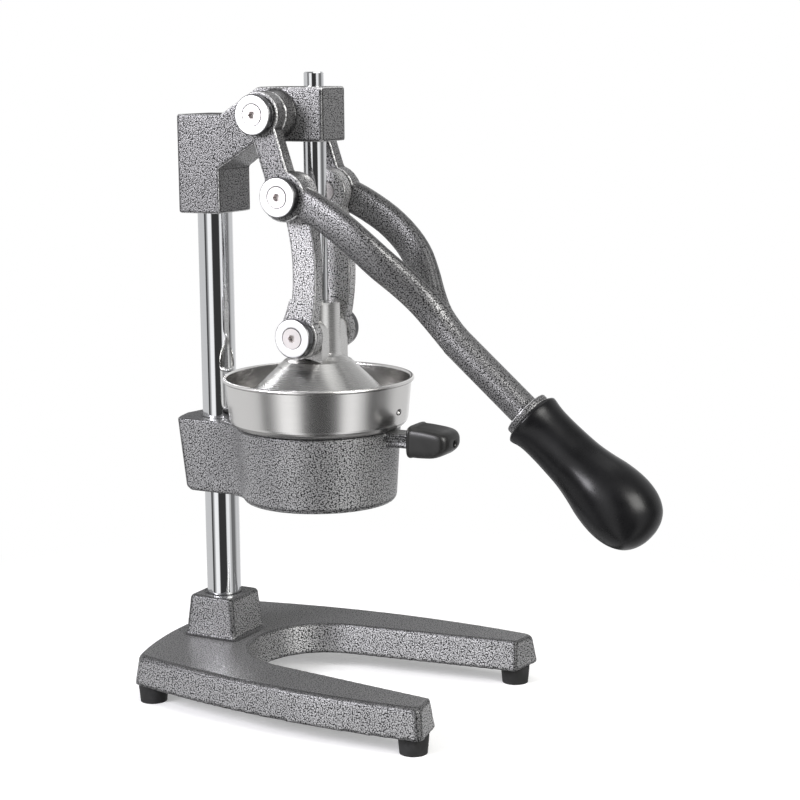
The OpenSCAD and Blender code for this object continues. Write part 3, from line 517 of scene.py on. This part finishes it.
# Share of the length, half width, drop of the top, rise of the underside (mm), squareness
GRIP_LINE = [(0.0, 13.4, 1.6, 1.6, 5), (0.02, 14.5, 0.4, 0.5, 5), (0.06, 15.0, 0.0, 0.0, 5),
             (0.11, 14.5, 0.6, 0.4, 5), (0.3, 14.4, 0.9, 0.4, 5), (0.6, 14.2, 1.7, 1.0, 4.6),
             (0.78, 13.9, 2.5, 2.9, 4), (0.88, 13.0, 3.5, 4.8, 3.4), (0.95, 11.0, 5.0, 6.6, 2.8),
             (0.985, 8.2, 7.0, 8.2, 2.3)]
GRIP_HOLE_R = 2.6*MM
GRIP_HOLE_LIP = 0.5*MM
GRIP_HOLE_LIP_DEEP = 0.2*MM
GRIP_HOLE_DEEP = 3.2*MM
GRIP_SIDES = 96
CURVE_PARTS = 4
low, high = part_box("side_grip")
screw_low, screw_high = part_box("side_grip_screw")


def squared(x, reach_y, middle_z, reach_z, squareness):
    """A section across the grip: an oval whose sides flatten as its squareness grows."""
    section = []
    for k in range(GRIP_SIDES):
        c, s = math.cos(2*math.pi*k/GRIP_SIDES), math.sin(2*math.pi*k/GRIP_SIDES)
        section.append((x, math.copysign(abs(c)**(2/squareness), c)*reach_y,
                        middle_z + math.copysign(abs(s)**(2/squareness), s)*reach_z))
    return section


sections = []
for share, half, drop, rise, squareness in smooth_line(GRIP_LINE, CURVE_PARTS):
    above, below = high[2] - drop*MM, low[2] + rise*MM
    sections.append(squared(low[0] + share*(high[0] - low[0]), half*MM,
                            (above + below)/2, (above - below)/2, squareness))
screw_z = (screw_low[2] + screw_high[2])/2
for deep, r in ((0.0, GRIP_HOLE_R + GRIP_HOLE_LIP), (GRIP_HOLE_LIP_DEEP, GRIP_HOLE_R),
                (GRIP_HOLE_DEEP, GRIP_HOLE_R)):
    sections.append(squared(high[0] - deep, r, screw_z, r, 2))
grip = skinned_piece("side_grip_wedge", "side_grip", "frame", sections)
grip_plastic = moulded_black("black grip plastic", 0.4, (0.01, 0.0098, 0.0094, 1), 0.6)
dress(grip, grip_plastic)
black_steel = turned_metal("blackened screw", (0.03, 0.03, 0.031, 1), (0.018, 0.018, 0.018, 1), 0.45)
dress(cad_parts["side_grip_screw"], black_steel)

# Juice cup and strainer
# Both are spun stainless sheet with a satin face: the cup with its rolled rim and funnel sits
# in the ring, and the pierced dome stands in the cup. One oval bead is pressed in the cup's wall.

# Painted shade: where the faces turn toward the axis, as inside the cup, the colour is darkened
spun_steel = turned_metal("spun stainless", (0.92, 0.908, 0.89, 1), (0.89, 0.878, 0.86, 1), 0.24,
                          rings=5200.0, depth=0.012, anisotropic=0.5, smudge=0.012, painted_shade=("Inward", 0.6))
for node in ("juice_cup", "strainer_cone"):
    dress(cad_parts[node], spun_steel)

MARK_AT = Vector((64.5*MM, 0, 213*MM))
MARK_HALF = (3.1*MM, 2.0*MM)
MARK_WIRE_R = 0.4*MM
MARK_TURNS = 40
MARK_SIDES = 10


def ring_on_wall(name, body):
    """A small oval bead pressed out of the cup's wall."""
    bm = bmesh.new()
    rings = []
    for k in range(MARK_TURNS):
        a = 2*math.pi*k/MARK_TURNS
        y = MARK_HALF[0]*math.cos(a)
        middle = Vector((math.sqrt(MARK_AT.x**2 - y*y), y, MARK_AT.z + MARK_HALF[1]*math.sin(a)))
        outward = Vector((middle.x, middle.y, 0)).normalized()
        travel = Vector((0, -MARK_HALF[0]*math.sin(a), MARK_HALF[1]*math.cos(a))).normalized()
        sideways = travel.cross(outward).normalized()
        ring = []
        for j in range(MARK_SIDES):
            turn = 2*math.pi*j/MARK_SIDES
            ring.append(bm.verts.new(
                middle + (outward*math.cos(turn) + sideways*math.sin(turn))*MARK_WIRE_R))
        rings.append(ring)
    walls(bm, rings + rings[:1])
    bmesh.ops.recalc_face_normals(bm, faces=bm.faces)
    return piece_of(name, bm, body)


mark = ring_on_wall("pressed_mark", "frame")
# Painted shade: the bead is of the cup's steel, coloured near black
dress(mark, turned_metal("shaded steel of the mark", (0.1, 0.098, 0.095, 1), (0.06, 0.059, 0.057, 1),
                         0.35, centre=MARK_AT, along=(1, 0, 0)))

# Head
# One iron casting caps the column: a block with two grub screws, a sloping web, the rod's guide
# and two bosses. A steel shaft goes through the bosses for the lever to turn on.

# The head and the lever carry a strong painted highlight along their edges
edged_enamel = hammered_paint("grey hammered enamel with bare edges", 0.75, pale=(0.28, 0.278, 0.281, 1),
                              mid=(0.175, 0.174, 0.176, 1))
head = cast_copy("head_casting_body", "head_casting", "frame", 0.8*MM, 6)
dress(head, edged_enamel)
for node in ("head_set_screws", "top_pivot_shaft"):
    dress(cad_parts[node], screw_steel)

# Lever
# One iron casting: two arms with round eyes run together into a bar with a collar. A steel
# pin on each side joins it to a link.

yoke = cast_copy("lever_arms", "lever_yoke", "lever", 0.7*MM, 8)
dress(yoke, edged_enamel)
for node in ("near_elbow_pin", "far_elbow_pin"):
    dress(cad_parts[node], screw_steel)

# Curved links
# A flat cast band with an eye at each end hangs between the lever's elbow and the press, one
# on each side, in hammered enamel whose paler grey is painted light. A short steel stub fills its upper
# eye.

# Painted light: the links' enamel is made paler than the head's and the lever's
painted_lit_enamel = hammered_paint("pale hammered enamel with bare edges", 0.6, pale=(0.62, 0.616, 0.62, 1),
                             mid=(0.46, 0.456, 0.46, 1))
for side in ("near", "far"):
    link = cast_copy(side + "_curved_band", side + "_link", side + "_curved_link", 0.6*MM, 7)
    dress(link, painted_lit_enamel)
    dress(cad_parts[side + "_link_stub"], screw_steel)

# Pivot caps
# Bright turned steel discs close the ends of the shafts and pins. Each is held by one
# countersunk screw with a hexagon socket, and a thin seam shows round the screw. Each face is
# painted near white as a painted highlight, and each side and seam slope dark grey as painted shade.

CAP_BEVEL = 1.0*MM
CAP_BORE = 3.8*MM
SEAM_R = 8.0*MM


def cap_metal(name, centre):
    """Brushed, with a near white face as a painted highlight, a dark grey side as painted shade, and a
    soft gloss.
    """
    material, sheet, shader = blank(name)
    marks = placed(sheet, TURNED, Centre=centre, Along=(0, 1, 0), Rings=2200.0)
    relief = sheet.add("ShaderNodeBump", {"Height": marks.outputs["Rings"], "Strength": 0.1,
                                          "Distance": RING_RELIEF})
    flat = sheet.span(marks.outputs["Faced"], 0.7, 1.0)
    groove = sheet.span(marks.outputs["Rings"], 0.3, 0.7)
    # Painted light: near white on the face as a painted highlight, dark grey on the side and the seam's
    # slope as painted shade
    face = sheet.mix(groove, (0.98, 0.98, 0.985, 1), (0.93, 0.93, 0.935, 1))
    side = sheet.mix(groove, (0.16, 0.16, 0.165, 1), (0.1, 0.1, 0.103, 1))
    sheet.feed(shader.inputs["Base Color"], sheet.mix(flat, side, face))
    sheet.feed(shader.inputs["Roughness"], sheet.math(
        "ADD", sheet.span(marks.outputs["Faced"], 0.0, 1.0, 0.2, 0.5),
        sheet.span(marks.outputs["Smudge"], 0.4, 0.8, 0.0, 0.05)))
    sheet.feed(shader.inputs["Metallic"], 1.0)
    sheet.feed(shader.inputs["Normal"], relief.outputs[0])
    return material


for pivot, body in (("top", "frame"), ("elbow", "lever"), ("lower", "press")):
    for side, outward in (("near", -1), ("far", 1)):
        node = side + "_" + pivot + "_cap"
        low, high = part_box(node)
        centre = ((low[0] + high[0])/2, low[1] if outward > 0 else high[1], (low[2] + high[2])/2)
        cap_r, cap_t = (high[0] - low[0])/2, high[1] - low[1]
        line = [(CAP_BORE, 0), (cap_r, 0), (cap_r, cap_t - CAP_BEVEL), (cap_r - CAP_BEVEL, cap_t),
                (SEAM_R, cap_t), (CAP_BORE, cap_t + CAP_BORE - SEAM_R), (CAP_BORE, 0)]
        cap = turned_piece(side + "_" + pivot + "_disc", node, body, centre, line,
                           along=(0, outward, 0))
        dress(cap, cap_metal(side + " " + pivot + " bright cap", centre))
    dress(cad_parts[pivot + "_cap_screws"], turned_metal(
        pivot + " cap screw steel", (0.86, 0.82, 0.81, 1), (0.76, 0.725, 0.715, 1), 0.4,
        centre=centre, along=(0, 1, 0), rings=2600.0))

# Handle
# A black moulded grip is pushed over the lever's tang: flared at its mouth, slim behind it and
# full at its end.

BAR_START = Vector((105*MM, 0, 268.9*MM))
BAR_SLOPE = math.radians(40.7)
HANDLE_FROM = 79*MM
HANDLE_LEN = 113.9*MM
HANDLE_R = 26.3*MM
HANDLE_LIP = 0.045
HANDLE_LIP_REACH = 0.05
# Share of the length and share of the radius
HANDLE_LINE = [(0.0, 0.70), (0.004, 0.745), (0.016, 0.80), (0.035, 0.79), (0.07, 0.742), (0.12, 0.715),
               (0.19, 0.711), (0.28, 0.722), (0.40, 0.755), (0.50, 0.83), (0.60, 0.93), (0.70, 0.985),
               (0.79, 0.975), (0.87, 0.89), (0.935, 0.725), (0.975, 0.5), (0.995, 0.25), (1.0, 0.06)]
HANDLE_SIDES = 96


def handle_sections():
    """Rings of points along the bar, with a mouth that is lower on its upper side."""
    along = Vector((math.cos(BAR_SLOPE), 0, -math.sin(BAR_SLOPE)))
    upward = Vector((math.sin(BAR_SLOPE), 0, math.cos(BAR_SLOPE)))
    start = BAR_START + along*HANDLE_FROM
    sections = []
    for share, reach in smooth_line(HANDLE_LINE, CURVE_PARTS):
        middle = start + along*(min(share, 1)*HANDLE_LEN)
        lip = HANDLE_LIP*math.exp(-(share/HANDLE_LIP_REACH)**2)
        section = []
        for k in range(HANDLE_SIDES):
            a = 2*math.pi*k/HANDLE_SIDES
            r = HANDLE_R*(reach - lip*0.5*(1 + math.cos(a)))
            section.append(middle + upward*(r*math.cos(a)) + Vector((0, r*math.sin(a), 0)))
        sections.append(section)
    return sections


handle = skinned_piece("handle_grip", "lever_handle", "lever", handle_sections())
handle_plastic = moulded_black("black handle plastic", 0.27, (0.005, 0.005, 0.0055, 1), 0.28)
dress(handle, handle_plastic)

# Press
# A chromed steel rod with a slimmer tip slides in the head. A screw holds it in the neck of a
# satin turned casting, whose bell presses the fruit and whose lugs carry the links' pins.

ROD_TIP_R = 6.9*MM
ROD_TIP_LEN = 16*MM
ROD_STEP = 0.6*MM
ROD_CHAMFER = (0.8*MM, 0.9*MM)
low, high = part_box("guide_rod")
rod_r = (high[0] - low[0])/2
step_z = high[2] - ROD_TIP_LEN
rod = turned_piece("chromed_rod", "guide_rod", "press", (0, 0, 0),
                   [(rod_r, low[2]), (rod_r, step_z - ROD_STEP), (ROD_TIP_R, step_z),
                    (ROD_TIP_R, high[2] - ROD_CHAMFER[1]), (ROD_TIP_R - ROD_CHAMFER[0], high[2])])
dress(rod, turned_metal("bright chrome rod", CHROME_PALE, CHROME_DARK, 0.06, rings=900.0,
                        depth=0.02))
for node in ("rod_screw", "near_lower_pin", "far_lower_pin"):
    dress(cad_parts[node], screw_steel)
# Painted shade: faces of the press casting that look along its axis, as on the bell's cone, are darkened
satin = turned_metal("satin turned casting", (0.8, 0.795, 0.78, 1), (0.76, 0.755, 0.74, 1), 0.27,
                     rings=2600.0, depth=0.01, anisotropic=0.2, smudge=0.02, painted_shade=("Faced", 0.4))
dress(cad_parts["press_head"], satin)

# Studio
# A white room: a round pale floor that fades to white, three soft lamps, and a world whose
# pale and dark strips show only in reflections and give round chrome its bands.

FLOOR_R = 0.55
FLOOR_SIDES = 72
FADE_FROM, FADE_TO = 0.16, 0.5
WHITE = (1, 1, 1, 1)


def paper_floor():
    """White paper that fades into the white room and stays out of reflections."""
    paper = bpy.data.materials.new("white paper floor")
    paper.use_nodes = True
    paper.node_tree.nodes.clear()
    sheet = Sheet(paper.node_tree)
    matt = sheet.add("ShaderNodeBsdfDiffuse", {"Color": (0.86, 0.86, 0.86, 1)})
    path = sheet.add("ShaderNodeLightPath")
    lift = sheet.add("ShaderNodeEmission", {"Color": WHITE, "Strength": 0.3})
    under = sheet.add("ShaderNodeAddShader", {0: matt.outputs[0], 1: lift.outputs[0]})
    spot = sheet.add("ShaderNodeTexCoord").outputs["Object"]
    away = sheet.vector("LENGTH", spot).outputs["Value"]
    open_paper = sheet.add("ShaderNodeEmission", {"Color": WHITE, "Strength": 1.0})
    faded = sheet.add("ShaderNodeMixShader", {0: sheet.span(away, FADE_FROM, FADE_TO),
                                              1: under.outputs[0], 2: open_paper.outputs[0]})
    viewed = sheet.add("ShaderNodeMixShader", {0: path.outputs["Is Camera Ray"],
                                               1: matt.outputs[0], 2: faded.outputs[0]})
    clear = sheet.add("ShaderNodeBsdfTransparent")
    whole = sheet.add("ShaderNodeMixShader", {0: path.outputs["Is Glossy Ray"],
                                              1: viewed.outputs[0], 2: clear.outputs[0]})
    sheet.add("ShaderNodeOutputMaterial", {"Surface": whole.outputs[0]})
    return paper


turns = [2*math.pi*k/FLOOR_SIDES for k in range(FLOOR_SIDES)]
floor_mesh = bpy.data.meshes.new("floor")
floor_mesh.from_pydata([(FLOOR_R*math.cos(a), FLOOR_R*math.sin(a), 0) for a in turns], [],
                       [tuple(range(FLOOR_SIDES))])
floor = linked("floor", floor_mesh)
floor.data.materials.append(paper_floor())

# Direction round the room in degrees, and how bright it is there
STRIPS = [(-180, 0.62), (-172, 0.92), (-160, 0.92), (-155, 0.08), (-143, 0.08), (-138, 0.62),
          (-48, 0.62), (-45, 0.06), (-36, 0.06), (-32, 0.3), (-26, 0.4), (-19, 1.0), (3, 1.0),
          (9, 0.04), (55, 0.04), (61, 0.9), (78, 0.95), (84, 0.55), (92, 0.5), (97, 0.16),
          (122, 0.18), (131, 0.45), (142, 0.62), (180, 0.62)]
CEILING = (0.26, 0.26, 0.265, 1)
ROOM_GLOW = 0.42


def room():
    """White to the camera, an even glow on dull things, and upright strips in reflections."""
    world = bpy.data.worlds.new("studio")
    world.use_nodes = True
    world.node_tree.nodes.clear()
    sheet = Sheet(world.node_tree)
    sky = sheet.add("ShaderNodeTexCoord").outputs["Generated"]
    way = sheet.add("ShaderNodeSeparateXYZ", {"Vector": sky})
    turn = sheet.math("ARCTAN2", way.outputs["X"], sheet.math("MULTIPLY", way.outputs["Y"], -1.0))
    around = sheet.math("ADD", sheet.math("DIVIDE", turn, 2*math.pi), 0.5)
    strips = sheet.add("ShaderNodeValToRGB", {"Fac": around})
    ramp = strips.color_ramp
    ramp.elements.remove(ramp.elements[1])
    for i, (angle, grey) in enumerate(STRIPS):
        stop = ramp.elements[0] if i == 0 else ramp.elements.new((angle + 180)/360)
        stop.color = (grey, grey, grey*1.01, 1)
    above = sheet.span(way.outputs["Z"], 0.5, 0.85)
    path = sheet.add("ShaderNodeLightPath")
    soft = sheet.add("ShaderNodeBackground", {"Color": WHITE, "Strength": ROOM_GLOW})
    mirrored = sheet.add("ShaderNodeBackground", {
        "Color": sheet.mix(above, strips.outputs[0], CEILING), "Strength": 1.0})
    white = sheet.add("ShaderNodeBackground", {"Color": WHITE, "Strength": 1.0})
    glossy = sheet.add("ShaderNodeMixShader", {0: path.outputs["Is Glossy Ray"],
                                               1: soft.outputs[0], 2: mirrored.outputs[0]})
    whole = sheet.add("ShaderNodeMixShader", {0: path.outputs["Is Camera Ray"],
                                              1: glossy.outputs[0], 2: white.outputs[0]})
    sheet.add("ShaderNodeOutputWorld", {"Surface": whole.outputs[0]})
    return world


bpy.context.scene.world = room()

# Place, size and power of each lamp, and its tint
SOFTBOXES = [("left softbox", (-0.75, -1.35, 0.95), 0.7, 27.0, (1, 0.985, 1.04)),
             ("right softbox", (1.5, -0.5, 1.0), 0.9, 24.0, (1, 0.99, 0.96)),
             ("top softbox", (0.0, 0.4, 1.7), 1.2, 5.0, (1, 1, 0.99))]
LIT_POINT = Vector((0, 0, 0.22))
for name, place, size, power, tint in SOFTBOXES:
    lamp = bpy.data.lights.new(name, "AREA")
    lamp.size = size
    lamp.energy = power
    lamp.color = tint
    holder = linked(name, lamp)
    holder.location = place
    holder.rotation_euler = (LIT_POINT - Vector(place)).to_track_quat("-Z", "Y").to_euler()

CAMERA_AT = Vector((0.6719, -1.1545, 0.4542))
CAMERA_YAW = math.radians(27.709)
CAMERA_DOWN = math.radians(10.113)
CAMERA_ROLL = math.radians(-0.459)
CAMERA_LENS = 85.48
CAMERA_SENSOR = 36
gaze = Vector((-math.sin(CAMERA_YAW)*math.cos(CAMERA_DOWN),
               math.cos(CAMERA_YAW)*math.cos(CAMERA_DOWN), -math.sin(CAMERA_DOWN)))
level = Vector((math.cos(CAMERA_YAW), math.sin(CAMERA_YAW), 0))
upright = level.cross(gaze)
right = level*math.cos(CAMERA_ROLL) + upright*math.sin(CAMERA_ROLL)
top = upright*math.cos(CAMERA_ROLL) - level*math.sin(CAMERA_ROLL)
lens = bpy.data.cameras.new("camera")
lens.lens = CAMERA_LENS
lens.sensor_width = CAMERA_SENSOR
camera = linked("camera", lens)
camera.matrix_world = (Matrix.Translation(CAMERA_AT)
                       @ Matrix((right, top, -gaze)).transposed().to_4x4())
bpy.context.scene.camera = camera
bpy.context.scene.view_settings.view_transform = "Standard"
